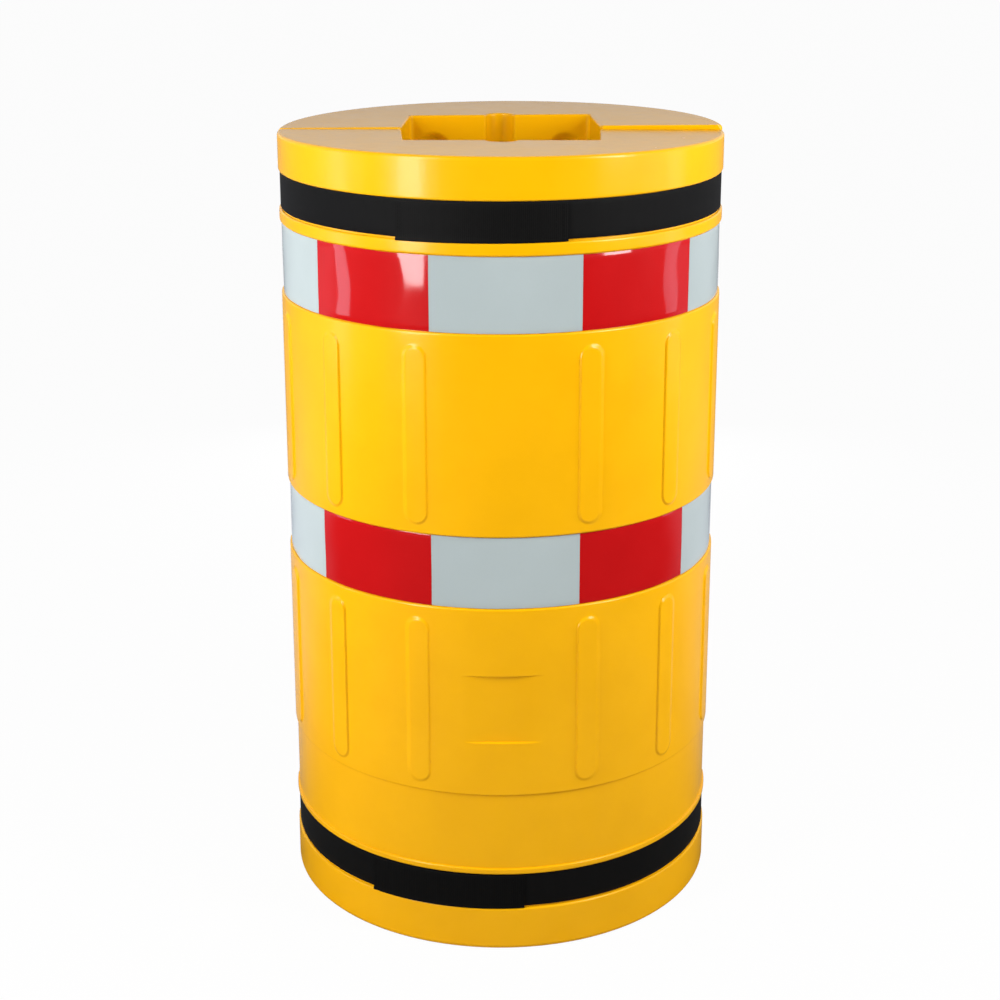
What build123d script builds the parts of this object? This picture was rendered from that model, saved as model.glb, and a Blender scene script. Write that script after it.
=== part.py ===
from build123d import *

import os
from math import atan2, cos, degrees, radians, sin, sqrt, tan

# Column protector: two hollow half shells of one form that close round a square column and are held
# together by two hook-and-loop straps. Millimetres, +Z up. The origin is on the floor on the column's
# axis, the halves part on the XZ plane and the front half faces -Y.

# Heights of the bands of a half, from the floor up
foot_height = 64.0
strap_groove_height = 52.0
lip_height = 9.0
plain_band_height = 111.0
lower_panel_height = 269.6
film_recess_height = 100.0
upper_panel_height = 271.2
collar_height = 17.2
rim_height = 54.0

# Outside of a half
outer_radius = 307.5
strap_groove_depth = 4.1
film_recess_depth = 3.9
plain_band_depth = 2.8
lip_round = 3.0
root_round = 0.6
lip_share = 0.7
root_share = 0.2
foot_round = 8.0
rim_round = 5.0
front_top_fall = 5.0
rear_top_fall = 0.0
seam_gap = 0.6
seam_round = 6.0
seam_round_inset = 1.2

# Pill-shaped ribs on the panels
rib_width = 32.0
rib_height = 2.5
rib_flank = 35.0
rib_pitch_angle = 25.3
rib_middle_angle = 43.0
ribs_per_side = 3
rib_end_margin = 16.0

# Flat pad on the front of the lower panel
pad_width = 100.0
pad_height = 98.0
pad_base_margin = 77.0

# Column channel
column_side = 250.0
column_clearance = 5.0
channel_draft = 3.3
channel_corner = 6.0
cable_groove_radius = 20.0

# Dimples that stiffen the channel wall
dimple_radius = 24.0
dimple_depth = 30.0
dimple_draft = 30.0
dimple_spacing = 190.0
dimple_top_margin = 50.0
dimple_rows = 4
dimple_pitch = 320.0

# Wall of the hollow moulding
wall = 4.5

# Reflective film
film_thickness = 0.4
film_glue = 0.5
film_edge_gap = 0.8
film_joint = 0.3
film_seam_gap = 10.0
middle_film_angle = 37.3
red_film_angle = 34.5
film_shift_angle = 0.7

# Hook-and-loop straps
strap_width = 49.0
strap_thickness = 1.6
strap_seat = 0.4
strap_lift = 1.2
tail_width = 50.0
tail_thickness = 1.4
tail_length = 222.0
tail_seat = 0.4
tail_drop = 0.7
sewn_length = 22.0
strap_end_gap = 10.0
hinge_gap = 0.8
upper_closure_offset = 82.5
lower_closure_offset = 29.5

# Levels worked out from the bands
lower_groove_base = foot_height
lower_groove_top = lower_groove_base + strap_groove_height
plain_band_base = lower_groove_top + lip_height
lower_panel_base = plain_band_base + plain_band_height
lower_film_base = lower_panel_base + lower_panel_height
upper_panel_base = lower_film_base + film_recess_height
upper_film_base = upper_panel_base + upper_panel_height
collar_base = upper_film_base + film_recess_height
upper_groove_base = collar_base + collar_height
rim_base = upper_groove_base + strap_groove_height
height = rim_base + rim_height

# Radii worked out from the depths
strap_floor_radius = outer_radius - strap_groove_depth
film_floor_radius = outer_radius - film_recess_depth
plain_band_radius = outer_radius - plain_band_depth
rib_radius = outer_radius + rib_height
film_inner_radius = film_floor_radius + film_glue
strap_inner_radius = strap_floor_radius + strap_seat
strap_outer_radius = strap_inner_radius + strap_thickness
tail_inner_radius = strap_outer_radius + tail_seat
tail_outer_radius = tail_inner_radius + tail_thickness

# Column channel worked out from the column
channel_depth = column_side / 2 + column_clearance
channel_half_width = column_side / 2 + column_clearance
channel_flare = channel_depth * tan(radians(channel_draft))

# Levels of the middle of each strap and film
upper_strap_level = upper_groove_base + strap_groove_height / 2
lower_strap_level = lower_groove_base + strap_groove_height / 2
upper_film_level = upper_film_base + film_recess_height / 2
lower_film_level = lower_film_base + film_recess_height / 2
film_height = film_recess_height - 2 * film_edge_gap

front_angle = -90.0


def arc_degrees(length, radius):
    """Angle in degrees of an arc of this length on this radius."""
    return degrees(length / radius)


def radial_plane(angle):
    """Plane through the axis whose x runs outwards at this angle and whose y runs up."""
    outwards = (cos(radians(angle)), sin(radians(angle)), 0)
    sideways = (sin(radians(angle)), -cos(radians(angle)), 0)
    return Plane(origin=(0, 0, 0), x_dir=outwards, z_dir=sideways)


# Outline of a half as bands of one radius each, from the floor to above the rim, where the top is cut
bands = [
    (0, outer_radius),
    (lower_groove_base, strap_floor_radius),
    (lower_groove_top, outer_radius),
    (plain_band_base, plain_band_radius),
    (lower_panel_base, outer_radius),
    (lower_film_base, film_floor_radius),
    (upper_panel_base, outer_radius),
    (upper_film_base, film_floor_radius),
    (collar_base, outer_radius),
    (upper_groove_base, strap_floor_radius),
    (rim_base, outer_radius),
]
outline = [(0, 0), (outer_radius, 0)]
outline_rounds = [foot_round]
for (_, below), (level, above) in zip(bands, bands[1:]):
    step = abs(above - below)
    lip = min(lip_round, lip_share * step)
    root = min(root_round, root_share * step)
    outline += [(below, level), (above, level)]
    outline_rounds += [lip, root] if below > above else [root, lip]
blank_height = height + rim_round
outline += [(outer_radius, blank_height), (0, blank_height)]
outline_rounds += [0]

# Outline of the hollow, one wall inside the tall bands and inside the floors of the recesses between them
hollow_top = height - max(front_top_fall, rear_top_fall) - wall
hollow_bands = [
    (wall, outer_radius),
    (lower_groove_base - wall, strap_floor_radius),
    (lower_panel_base + wall, outer_radius),
    (lower_film_base - wall, film_floor_radius),
    (upper_panel_base + wall, outer_radius),
    (upper_film_base - wall, min(film_floor_radius, strap_floor_radius)),
    (rim_base + wall, outer_radius),
    (hollow_top, 0),
]
hollow_outline = [(0, wall)]
for (base, radius), (top, _) in zip(hollow_bands, hollow_bands[1:]):
    hollow_outline += [(radius - wall, base), (radius - wall, top)]
hollow_outline += [(0, hollow_top)]

# Panels with ribs, and the ribs as angles from the middle of a half
panels = [(lower_panel_base, lower_panel_height), (upper_panel_base, upper_panel_height)]
rib_angles = []
for place in range(ribs_per_side):
    from_middle = rib_middle_angle / 2 + place * rib_pitch_angle
    rib_angles += [-from_middle, from_middle]

# Parting face, and the corner in plan where it meets the outside
seam_face = -seam_gap / 2
seam_corner = sqrt(outer_radius**2 - seam_face**2)
seam_centre = seam_round_inset * seam_round
seam_cut_radius = sqrt(seam_centre**2 + (seam_centre - seam_round) ** 2)

# Middle of the dimple pattern
dimple_level = height - dimple_top_margin - dimple_pitch * (dimple_rows - 1) / 2


def rib_blank(base, panel_height):
    """One pill-shaped rib where it stands at the front of a panel, its flanks sloping down to the panel."""
    rooted = rib_height
    spread = 2 * rooted * tan(radians(rib_flank))
    rib_length = panel_height - 2 * rib_end_margin
    with BuildPart() as rib:
        with BuildSketch(Plane.XZ.offset(outer_radius - rooted)):
            with Locations((0, base + panel_height / 2)):
                SlotOverall(rib_length + spread, rib_width + spread, rotation=90)
        extrude(amount=rooted + 2 * rib_height, taper=rib_flank)
        with BuildSketch(Plane.XY.offset(base)):
            Circle(rib_radius)
        extrude(amount=panel_height, mode=Mode.INTERSECT)
    return rib.part


def channel_outline(grow):
    """Half of the column channel in plan, open at the parting plane and grown outwards by this much."""
    with BuildSketch() as plan:
        with BuildLine():
            Polyline(
                (-channel_half_width - channel_flare - grow, 0),
                (-channel_half_width - grow, -channel_depth - grow),
                (channel_half_width + grow, -channel_depth - grow),
                (channel_half_width + channel_flare + grow, 0),
                close=True,
            )
        make_face()
        fillet(plan.vertices().group_by(Axis.Y)[0], channel_corner + grow)
        with Locations((0, -channel_depth)):
            Circle(cable_groove_radius + grow)
    return plan.sketch


def band_arc(inner_radius, thickness, level, width, start, end):
    """Arc of flat band on edge at this level, from one angle to another, counted from the front."""
    with BuildPart() as band:
        with BuildSketch(radial_plane(front_angle + start)):
            with Locations((inner_radius + thickness / 2, level)):
                Rectangle(thickness, width)
        revolve(axis=Axis.Z, revolution_arc=end - start)
    return band.part


os.makedirs("parts", exist_ok=True)

with BuildPart() as hollow:
    with BuildSketch(Plane.XZ):
        with BuildLine():
            Polyline(*hollow_outline, close=True)
        make_face()
    revolve(axis=Axis.Z)
    split(bisect_by=Plane.XZ.offset(wall - seam_face), keep=Keep.TOP)
    extrude(channel_outline(wall), amount=height, mode=Mode.SUBTRACT)
    with BuildSketch(Plane.XZ.offset(channel_depth)):
        with Locations((0, dimple_level)):
            with GridLocations(dimple_spacing, dimple_pitch, 2, dimple_rows):
                Circle(dimple_radius + wall)
    extrude(amount=dimple_depth + wall, taper=dimple_draft, mode=Mode.SUBTRACT)



def half_shell(top_fall):
    """Front half whose top falls by this much from its left side to its right."""
    top_slope = degrees(atan2(top_fall, 2 * outer_radius))
    with BuildPart() as shell:
        # Outside, from the foot to the rim
        with BuildSketch(Plane.XZ):
            with BuildLine():
                FilletPolyline(*outline, radius=outline_rounds)
                Line((0, blank_height), (0, 0))
            make_face()
        revolve(axis=Axis.Z)
        split(bisect_by=Plane.XZ.offset(-seam_face), keep=Keep.TOP)

        # Top, cut off along its slope and rounded along the outside
        split(bisect_by=Plane((-outer_radius, 0, height)).rotated((0, top_slope, 0)), keep=Keep.BOTTOM)
        fillet(edges().filter_by(GeomType.LINE, reverse=True).sort_by(Axis.Z)[-1], rim_round)

        # Rounded edges along the seam
        with BuildSketch():
            with Locations((-seam_corner, seam_face), (seam_corner, seam_face)):
                Rectangle(2 * seam_round, 2 * seam_round)
            with Locations(
                (seam_centre - seam_corner, seam_face - seam_centre),
                (seam_corner - seam_centre, seam_face - seam_centre),
            ):
                Circle(seam_cut_radius, mode=Mode.SUBTRACT)
        extrude(amount=height, mode=Mode.SUBTRACT)

        # Ribs on both panels
        for base, panel_height in panels:
            rib = rib_blank(base, panel_height)
            for angle in rib_angles:
                add(rib, rotation=(0, 0, angle))

        # Flat pad on the lower panel
        with BuildSketch(Plane.XZ.offset(sqrt(outer_radius**2 - (pad_width / 2) ** 2))):
            with Locations((0, lower_panel_base + pad_base_margin)):
                Rectangle(pad_width, pad_height, align=(Align.CENTER, Align.MIN))
        extrude(amount=outer_radius, mode=Mode.SUBTRACT)

        # Column channel with its dimples
        extrude(channel_outline(0), amount=height, mode=Mode.SUBTRACT)
        with BuildSketch(Plane.XZ.offset(channel_depth)):
            with Locations((0, dimple_level)):
                with GridLocations(dimple_spacing, dimple_pitch, 2, dimple_rows):
                    Circle(dimple_radius)
        extrude(amount=dimple_depth, taper=dimple_draft, mode=Mode.SUBTRACT)

        add(hollow.part, mode=Mode.SUBTRACT)
    return shell.part


# Both halves have one form; only the fall of the top differs, and the rear one is turned half a turn
half_turn = 180.0
for half, top_fall, turn in (("front", front_top_fall, 0.0), ("rear", rear_top_fall, half_turn)):
    with BuildPart() as placed_shell:
        add(half_shell(top_fall), rotation=(0, 0, turn))
    placed_shell.part.label = f"{half}_half_shell"
    export_step(placed_shell.part, f"parts/{half}_half_shell.step")

# Film blocks in each recess: the angles where each starts and ends, counted from the middle of the half
quarter_turn = 90.0
joint_angle = arc_degrees(film_joint, film_inner_radius)
middle_end = middle_film_angle / 2
red_end = middle_end + red_film_angle
white_end = quarter_turn - arc_degrees(film_seam_gap, film_inner_radius)
joints = [film_shift_angle + angle for angle in (-red_end, -middle_end, middle_end, red_end)]
film_blocks = {
    "white_left": (-white_end, joints[0] - joint_angle),
    "red_left": (joints[0], joints[1] - joint_angle),
    "white_middle": (joints[1], joints[2]),
    "red_right": (joints[2] + joint_angle, joints[3]),
    "white_right": (joints[3] + joint_angle, white_end),
}
for half, turn in (("front", 0.0), ("rear", half_turn)):
    for row, level in (("upper", upper_film_level), ("lower", lower_film_level)):
        for block, (start, end) in film_blocks.items():
            name = f"{half}_{row}_film_{block}"
            with BuildPart() as film:
                add(band_arc(film_inner_radius, film_thickness, level, film_height, turn + start, turn + end))
            film.part.label = name
            export_step(film.part, f"parts/{name}.step")

# Straps: a back run, a left and a right arm, and a hook tail sewn to the right arm's end
hinge_angle = arc_degrees(hinge_gap / 2, strap_outer_radius)
for row, level, closure in (
    ("upper", upper_strap_level, upper_closure_offset),
    ("lower", lower_strap_level, lower_closure_offset),
):
    closure_angle = arc_degrees(closure, strap_outer_radius)
    sewn_angle = closure_angle - arc_degrees(sewn_length, strap_outer_radius)
    left_end = sewn_angle - arc_degrees(strap_end_gap, strap_outer_radius)
    tail_start = closure_angle - arc_degrees(tail_length, strap_outer_radius)
    left_hinge = hinge_angle - quarter_turn
    right_hinge = quarter_turn - hinge_angle
    run = (strap_inner_radius, strap_thickness, level + strap_lift, strap_width)
    tail_level = level - tail_drop

    with BuildPart() as strap_back:
        add(band_arc(*run, quarter_turn + hinge_angle, quarter_turn + half_turn - hinge_angle))
    strap_back.part.label = f"{row}_strap_back"
    export_step(strap_back.part, f"parts/{row}_strap_back.step")

    with BuildPart() as strap_left:
        add(band_arc(*run, left_hinge, left_end))
    strap_left.part.label = f"{row}_strap_left"
    export_step(strap_left.part, f"parts/{row}_strap_left.step")

    with BuildPart() as strap_right:
        add(band_arc(*run, sewn_angle, right_hinge))
        sewn_thickness = tail_seat + tail_thickness
        add(band_arc(strap_outer_radius, sewn_thickness, tail_level, tail_width, sewn_angle, closure_angle))
    strap_right.part.label = f"{row}_strap_right"
    export_step(strap_right.part, f"parts/{row}_strap_right.step")

    with BuildPart() as strap_tail:
        tail_end = sewn_angle - hinge_angle
        add(band_arc(tail_inner_radius, tail_thickness, tail_level, tail_width, tail_start, tail_end))
    strap_tail.part.label = f"{row}_strap_tail"
    export_step(strap_tail.part, f"parts/{row}_strap_tail.step")
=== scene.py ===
import logging
from dataclasses import dataclass, field
from enum import Enum, auto
from functools import partial
from math import acos, atan2, cos, hypot, pi, radians, sin, sqrt, tan
from typing import Any, Callable, Iterable, Mapping, Sequence

import bmesh
import bpy
from mathutils import Matrix, Vector


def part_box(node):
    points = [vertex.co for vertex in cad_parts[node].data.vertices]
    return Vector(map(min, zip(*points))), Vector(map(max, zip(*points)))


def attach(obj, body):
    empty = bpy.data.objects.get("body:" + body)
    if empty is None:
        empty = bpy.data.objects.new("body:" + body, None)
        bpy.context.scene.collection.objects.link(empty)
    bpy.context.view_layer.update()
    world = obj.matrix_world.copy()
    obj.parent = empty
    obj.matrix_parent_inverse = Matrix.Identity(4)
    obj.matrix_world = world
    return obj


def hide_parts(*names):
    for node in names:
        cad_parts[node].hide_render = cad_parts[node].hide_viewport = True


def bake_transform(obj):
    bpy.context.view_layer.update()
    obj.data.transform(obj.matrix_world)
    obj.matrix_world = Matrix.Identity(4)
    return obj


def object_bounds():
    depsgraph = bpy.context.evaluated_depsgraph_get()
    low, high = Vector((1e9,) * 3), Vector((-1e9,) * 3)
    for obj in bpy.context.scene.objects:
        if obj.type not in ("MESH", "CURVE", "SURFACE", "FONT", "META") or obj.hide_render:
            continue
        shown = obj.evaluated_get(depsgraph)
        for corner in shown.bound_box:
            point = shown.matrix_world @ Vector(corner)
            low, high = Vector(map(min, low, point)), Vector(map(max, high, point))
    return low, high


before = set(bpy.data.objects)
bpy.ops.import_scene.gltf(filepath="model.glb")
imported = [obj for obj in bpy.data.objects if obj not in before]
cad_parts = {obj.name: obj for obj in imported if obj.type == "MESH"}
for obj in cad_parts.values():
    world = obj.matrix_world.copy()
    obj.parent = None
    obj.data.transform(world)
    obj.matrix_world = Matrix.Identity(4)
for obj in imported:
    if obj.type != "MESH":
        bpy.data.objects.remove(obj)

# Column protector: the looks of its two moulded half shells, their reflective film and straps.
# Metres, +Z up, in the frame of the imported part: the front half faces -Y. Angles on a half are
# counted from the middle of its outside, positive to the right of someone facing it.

LOG = logging.getLogger("column_protector")
CAD_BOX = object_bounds()

Shape = bmesh.types.BMesh
Vert = bmesh.types.BMVert
Edge = bmesh.types.BMEdge
Face = bmesh.types.BMFace
Piece = bpy.types.Object
Finish = bpy.types.Material
Span = tuple[float, float]
Triple = tuple[float, float, float]

MM = 0.001
TURN = 2 * pi
MERGE_DISTANCE = 0.02 * MM
SHARP_ANGLE = radians(38)
NOISE_MIDDLE = 0.5
COOL_LIGHT = (0.8, 0.84, 1.0)


class Named(Enum):
    """A choice whose name is part of the nodes' names."""

    @property
    def word(self) -> str:
        """The name in lower case, as the nodes have it."""
        return self.name.lower()


class Half(Named):
    """The two halves, with the turn that takes the front half to each."""

    FRONT = 0.0
    REAR = pi

    @property
    def body(self) -> str:
        """The body that carries this half."""
        return f"{self.word}_half"


class Row(Named):
    """The upper and the lower strap or film band."""

    UPPER = auto()
    LOWER = auto()


class Side(Named):
    """The two runs of a strap, with the side of the front that each lies on."""

    LEFT = -1
    RIGHT = 1


class Block(Named):
    """The film blocks of one band, as seen facing the half."""

    WHITE_LEFT = auto()
    RED_LEFT = auto()
    WHITE_MIDDLE = auto()
    RED_RIGHT = auto()
    WHITE_RIGHT = auto()

    @property
    def red(self) -> bool:
        """Whether the block is red."""
        return self.word.startswith("red")


class Rounding(Enum):
    """What a bevel rounds: edges of a surface or corners of a wire."""

    EDGES = "EDGES"
    CORNERS = "VERTICES"


def smooth_step(value: float) -> float:
    """Ease from 0 to 1 as the value goes from 0 to 1."""
    held = min(max(value, 0.0), 1.0)
    return held * held * (3 - 2 * held)


def evenly(start: float, stop: float, step: float) -> list[float]:
    """Evenly spaced values over a stretch, about a step apart, both ends among them."""
    count = max(1, round(abs(stop - start) / step))
    return [start + (stop - start) * place / count for place in range(count + 1)]


def wrapped(angle: float) -> float:
    """The same angle, within half a turn either way."""
    return (angle + pi) % TURN - pi


def bearing_of(point: Vector) -> float:
    """Angle of a point round the column, from the front."""
    return atan2(point.x, -point.y)


def radius_of(point: Vector) -> float:
    """Distance of a point from the column's axis."""
    return hypot(point.x, point.y)


class Signal:
    """A socket of a node graph that takes part in Python expressions."""

    def __init__(self, graph: "Graph", socket: bpy.types.NodeSocket | None) -> None:
        """Keeps the graph and the socket."""
        self.graph = graph
        self.socket = socket

    def _math(self, operation: str, first: Any, second: Any) -> "Signal":
        """Adds one Math node."""
        return self.graph.add("ShaderNodeMath", {"operation": operation}, {0: first, 1: second})

    def __add__(self, other: "Signal | float") -> "Signal":
        """Sum."""
        return self._math("ADD", self, other)

    def __radd__(self, other: float) -> "Signal":
        """Sum with a number first."""
        return self._math("ADD", other, self)

    def __sub__(self, other: "Signal | float") -> "Signal":
        """Difference."""
        return self._math("SUBTRACT", self, other)

    def __rsub__(self, other: float) -> "Signal":
        """Difference with a number first."""
        return self._math("SUBTRACT", other, self)

    def __mul__(self, other: "Signal | float") -> "Signal":
        """Product."""
        return self._math("MULTIPLY", self, other)

    def __rmul__(self, other: float) -> "Signal":
        """Product with a number first."""
        return self._math("MULTIPLY", other, self)

    def ripple(self) -> "Signal":
        """Sine of a value in radians, moved between 0 and 1."""
        return self._math("SINE", self, 0.0) * 0.5 + 0.5

    def largest(self, other: "Signal | float") -> "Signal":
        """The larger of two values."""
        return self._math("MAXIMUM", self, other)

    def swing(self, middle: float, by: float) -> "Signal":
        """A value that swings about its middle as this noise does."""
        return middle + by * (self - NOISE_MIDDLE)

    def ramp(self, low: float, high: float) -> "Signal":
        """Ease from 0 at a low value to 1 at a high one."""
        settings = {"interpolation_type": "SMOOTHSTEP"}
        return self.graph.add("ShaderNodeMapRange", settings, {0: self, 1: low, 2: high})


def weighed(shares: Sequence[float], signals: Sequence[Signal]) -> Signal:
    """Sum of signals, each times its share."""
    first, *others = (share * signal for share, signal in zip(shares, signals))
    return sum(others, first)


class Graph:
    """A node tree that finishes are written into."""

    def __init__(self, tree: bpy.types.NodeTree) -> None:
        """Empties the tree."""
        tree.nodes.clear()
        self.tree = tree

    def add(
        self,
        kind: str,
        settings: Mapping[str, Any] | None = None,
        inputs: Mapping[str | int, Any] | None = None,
        output: str | int = 0,
    ) -> Signal:
        """Adds one node.

        Args:
            kind: The node's type.
            settings: Its properties, which are set before its sockets.
            inputs: Values or signals by socket name or number.
            output: The socket to give back.

        Returns:
            The chosen output, or an empty signal for a node that has none.
        """
        node = self.tree.nodes.new(kind)
        for name, value in (settings or {}).items():
            setattr(node, name, value)
        for key, value in (inputs or {}).items():
            if isinstance(value, Signal):
                self.tree.links.new(value.socket, node.inputs[key])
            else:
                node.inputs[key].default_value = value
        return Signal(self, node.outputs[output] if len(node.outputs) else None)

    def place(self) -> Signal:
        """Object coordinates, in metres."""
        return self.add("ShaderNodeTexCoord", output="Object")

    def part(self, vector: Signal, axis: int) -> Signal:
        """One of a vector's three parts."""
        return self.add("ShaderNodeSeparateXYZ", None, {0: vector}, output=axis)

    def noise(self, vector: Signal, scale: float | Triple, detail: float = 2.0) -> Signal:
        """Noise between 0 and 1.

        Args:
            vector: Where the noise is read.
            scale: One scale, or one for each axis.
            detail: How many finer layers it has.

        Returns:
            The noise.
        """
        if isinstance(scale, tuple):
            stretch = {"operation": "MULTIPLY"}
            vector = self.add("ShaderNodeVectorMath", stretch, {0: vector, 1: scale})
            scale = 1.0
        inputs = {"Vector": vector, "Scale": scale, "Detail": detail}
        return self.add("ShaderNodeTexNoise", None, inputs)

    def mix(self, factor: Signal, first: Triple, second: Triple) -> Signal:
        """Mixes two colours, the first at 0 and the second at 1."""
        inputs = {0: factor, 6: (*first, 1.0), 7: (*second, 1.0)}
        return self.add("ShaderNodeMix", {"data_type": "RGBA"}, inputs, output=2)

    def bump(self, height: Signal, distance: float, below: Signal | None = None) -> Signal:
        """Tilts the normal by a height.

        Args:
            height: Height as a share of the distance.
            distance: Height in metres where the signal is 1.
            below: A normal that is already tilted.

        Returns:
            The tilted normal.
        """
        inputs: dict[str | int, Any] = {"Strength": 1.0, "Distance": distance, "Height": height}
        if below is not None:
            inputs["Normal"] = below
        return self.add("ShaderNodeBump", None, inputs)

    def seen(self) -> Signal:
        """1 on a ray straight from the camera."""
        return self.add("ShaderNodeLightPath", output="Is Camera Ray")

    def mirrored(self) -> Signal:
        """1 on a ray that comes by way of a gloss or through something clear."""
        glossy = self.add("ShaderNodeLightPath", output="Is Glossy Ray")
        return glossy.largest(self.add("ShaderNodeLightPath", output="Is Transmission Ray"))

    def either(self, factor: Signal, first: Signal, second: Signal) -> Signal:
        """Mixes two shaders, the first at 0 and the second at 1."""
        return self.add("ShaderNodeMixShader", None, {0: factor, 1: first, 2: second})

    def surface(self, inputs: Mapping[str | int, Any]) -> None:
        """Ends the graph in one Principled surface."""
        shader = self.add("ShaderNodeBsdfPrincipled", None, inputs)
        self.add("ShaderNodeOutputMaterial", None, {"Surface": shader})


def new_material(name: str) -> tuple[Finish, Graph]:
    """An empty node material.

    Args:
        name: The material's name.

    Returns:
        The material and the graph to fill.
    """
    material = bpy.data.materials.new(name)
    material.use_nodes = True
    return material, Graph(material.node_tree)


@dataclass(frozen=True)
class MouldedPlastic:
    """Glossy polyethylene from the mould: a little wavy, finely pebbled, faintly mottled."""

    name: str = "yellow_polyethylene"
    light: Triple = (0.85, 0.42, 0.0015)
    deep: Triple = (0.82, 0.4, 0.001)
    tone_range: Span = (0.3, 0.7)
    roughness: float = 0.24
    roughness_swing: float = 0.12
    ior: float = 1.34
    mottle_scale: float = 11.0
    wave_scale: float = 7.0
    wave_height: float = 1.6 * MM
    pebble_scale: float = 420.0
    pebble_height: float = 0.012 * MM
    scuff_scale: Triple = (60.0, 60.0, 6.0)

    def make(self) -> Finish:
        """Writes the material.

        Returns:
            The yellow plastic.
        """
        material, graph = new_material(self.name)
        place = graph.place()
        mottle = graph.noise(place, self.mottle_scale, detail=4.0)
        scuff = graph.noise(place, self.scuff_scale, detail=3.0)
        waved = graph.bump(graph.noise(place, self.wave_scale, detail=1.0), self.wave_height)
        pebble = graph.noise(place, self.pebble_scale, detail=1.0)
        graph.surface(
            {
                "Base Color": graph.mix(mottle.ramp(*self.tone_range), self.deep, self.light),
                "Roughness": scuff.swing(self.roughness, self.roughness_swing),
                "IOR": self.ior,
                "Normal": graph.bump(pebble, self.pebble_height, waved),
            }
        )
        return material


@dataclass(frozen=True)
class ReflectiveFilm:
    """Reflective film under a clear glossy face, with fine beads below it."""

    name: str
    light: Triple
    deep: Triple
    grain: float
    tone_range: Span = (0.32, 0.68)
    tone_shares: Span = (0.6, 0.4)
    roughness: float = 0.07
    roughness_swing: float = 0.05
    ior: float = 1.45
    haze: float = 0.12
    haze_roughness: float = 0.4
    cloud_scale: float = 16.0
    bead_scale: float = 900.0
    wave_scale: float = 15.0
    wave_height: float = 0.3 * MM

    def make(self) -> Finish:
        """Writes the material.

        Returns:
            The film.
        """
        material, graph = new_material(self.name)
        place = graph.place()
        cloud = graph.noise(place, self.cloud_scale, detail=3.0)
        beads = graph.noise(place, self.bead_scale, detail=1.0)
        tone = weighed(self.tone_shares, (cloud, beads))
        wave = graph.noise(place, self.wave_scale, detail=1.0)
        graph.surface(
            {
                "Base Color": graph.mix(tone.ramp(*self.tone_range), self.deep, self.light),
                "Roughness": cloud.swing(self.roughness, self.roughness_swing),
                "Diffuse Roughness": self.grain,
                "IOR": self.ior,
                "Coat Weight": self.haze,
                "Coat Roughness": self.haze_roughness,
                "Normal": graph.bump(wave, self.wave_height),
            }
        )
        return material


@dataclass(frozen=True)
class Webbing:
    """Black woven tape: weft ribs across it, warp threads along it, and a dull sheen."""

    name: str
    light: Triple
    deep: Triple
    rib_pitch: float
    thread_pitch: float
    rib_height: float = 0.16 * MM
    rib_wander: float = 1.4
    relief_shares: Triple = (0.6, 0.2, 0.35)
    tone_shares: Triple = (0.45, 0.2, 0.35)
    tone_range: Span = (0.2, 0.8)
    wander_scale: Triple = (35.0, 260.0, 0.0)
    fuzz_scale: Triple = (900.0, 900.0, 0.0)
    band_scale: Triple = (140.0, 9.0, 0.0)
    roughness: float = 0.62
    roughness_swing: float = 0.18
    specular: float = 0.09
    sheen: float = 0.02
    sheen_roughness: float = 0.5
    uv: str = "weave"

    def make(self) -> Finish:
        """Writes the material.

        Returns:
            The tape, which follows the piece's own weave map.
        """
        material, graph = new_material(self.name)
        weave = graph.add("ShaderNodeUVMap", {"uv_map": self.uv})
        wander = graph.noise(weave, self.wander_scale)
        along = graph.part(weave, 0) * (TURN / self.rib_pitch) + self.rib_wander * wander
        across = graph.part(weave, 1) * (TURN / self.thread_pitch)
        rib, thread = along.ripple(), across.ripple()
        fuzz = graph.noise(weave, self.fuzz_scale)
        band = graph.noise(weave, self.band_scale)
        relief = weighed(self.relief_shares, (rib, thread, fuzz))
        tone = weighed(self.tone_shares, (rib, fuzz, band))
        graph.surface(
            {
                "Base Color": graph.mix(tone.ramp(*self.tone_range), self.deep, self.light),
                "Roughness": fuzz.swing(self.roughness, self.roughness_swing),
                "Specular IOR Level": self.specular,
                "Sheen Weight": self.sheen,
                "Sheen Roughness": self.sheen_roughness,
                "Normal": graph.bump(relief, self.rib_height),
            }
        )
        return material


@dataclass(frozen=True)
class SewingThread:
    """Black twisted thread."""

    name: str = "black_thread"
    light: Triple = (0.0045, 0.0045, 0.005)
    deep: Triple = (0.0018, 0.0018, 0.002)
    tone_range: Span = (0.3, 0.7)
    roughness: float = 0.5
    roughness_swing: float = 0.2
    specular: float = 0.06
    twist_scale: float = 1500.0
    twist_height: float = 0.05 * MM

    def make(self) -> Finish:
        """Writes the material.

        Returns:
            The thread.
        """
        material, graph = new_material(self.name)
        twist = graph.noise(graph.place(), self.twist_scale, detail=1.0)
        graph.surface(
            {
                "Base Color": graph.mix(twist.ramp(*self.tone_range), self.deep, self.light),
                "Roughness": twist.swing(self.roughness, self.roughness_swing),
                "Specular IOR Level": self.specular,
                "Normal": graph.bump(twist, self.twist_height),
            }
        )
        return material


def add_object(name: str, data: bpy.types.ID) -> Piece:
    """A new object of the scene, at the origin.

    Args:
        name: The object's name.
        data: Its mesh, lamp or camera.

    Returns:
        The object.
    """
    made = bpy.data.objects.new(name, data)
    bpy.context.scene.collection.objects.link(made)
    return made


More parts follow.
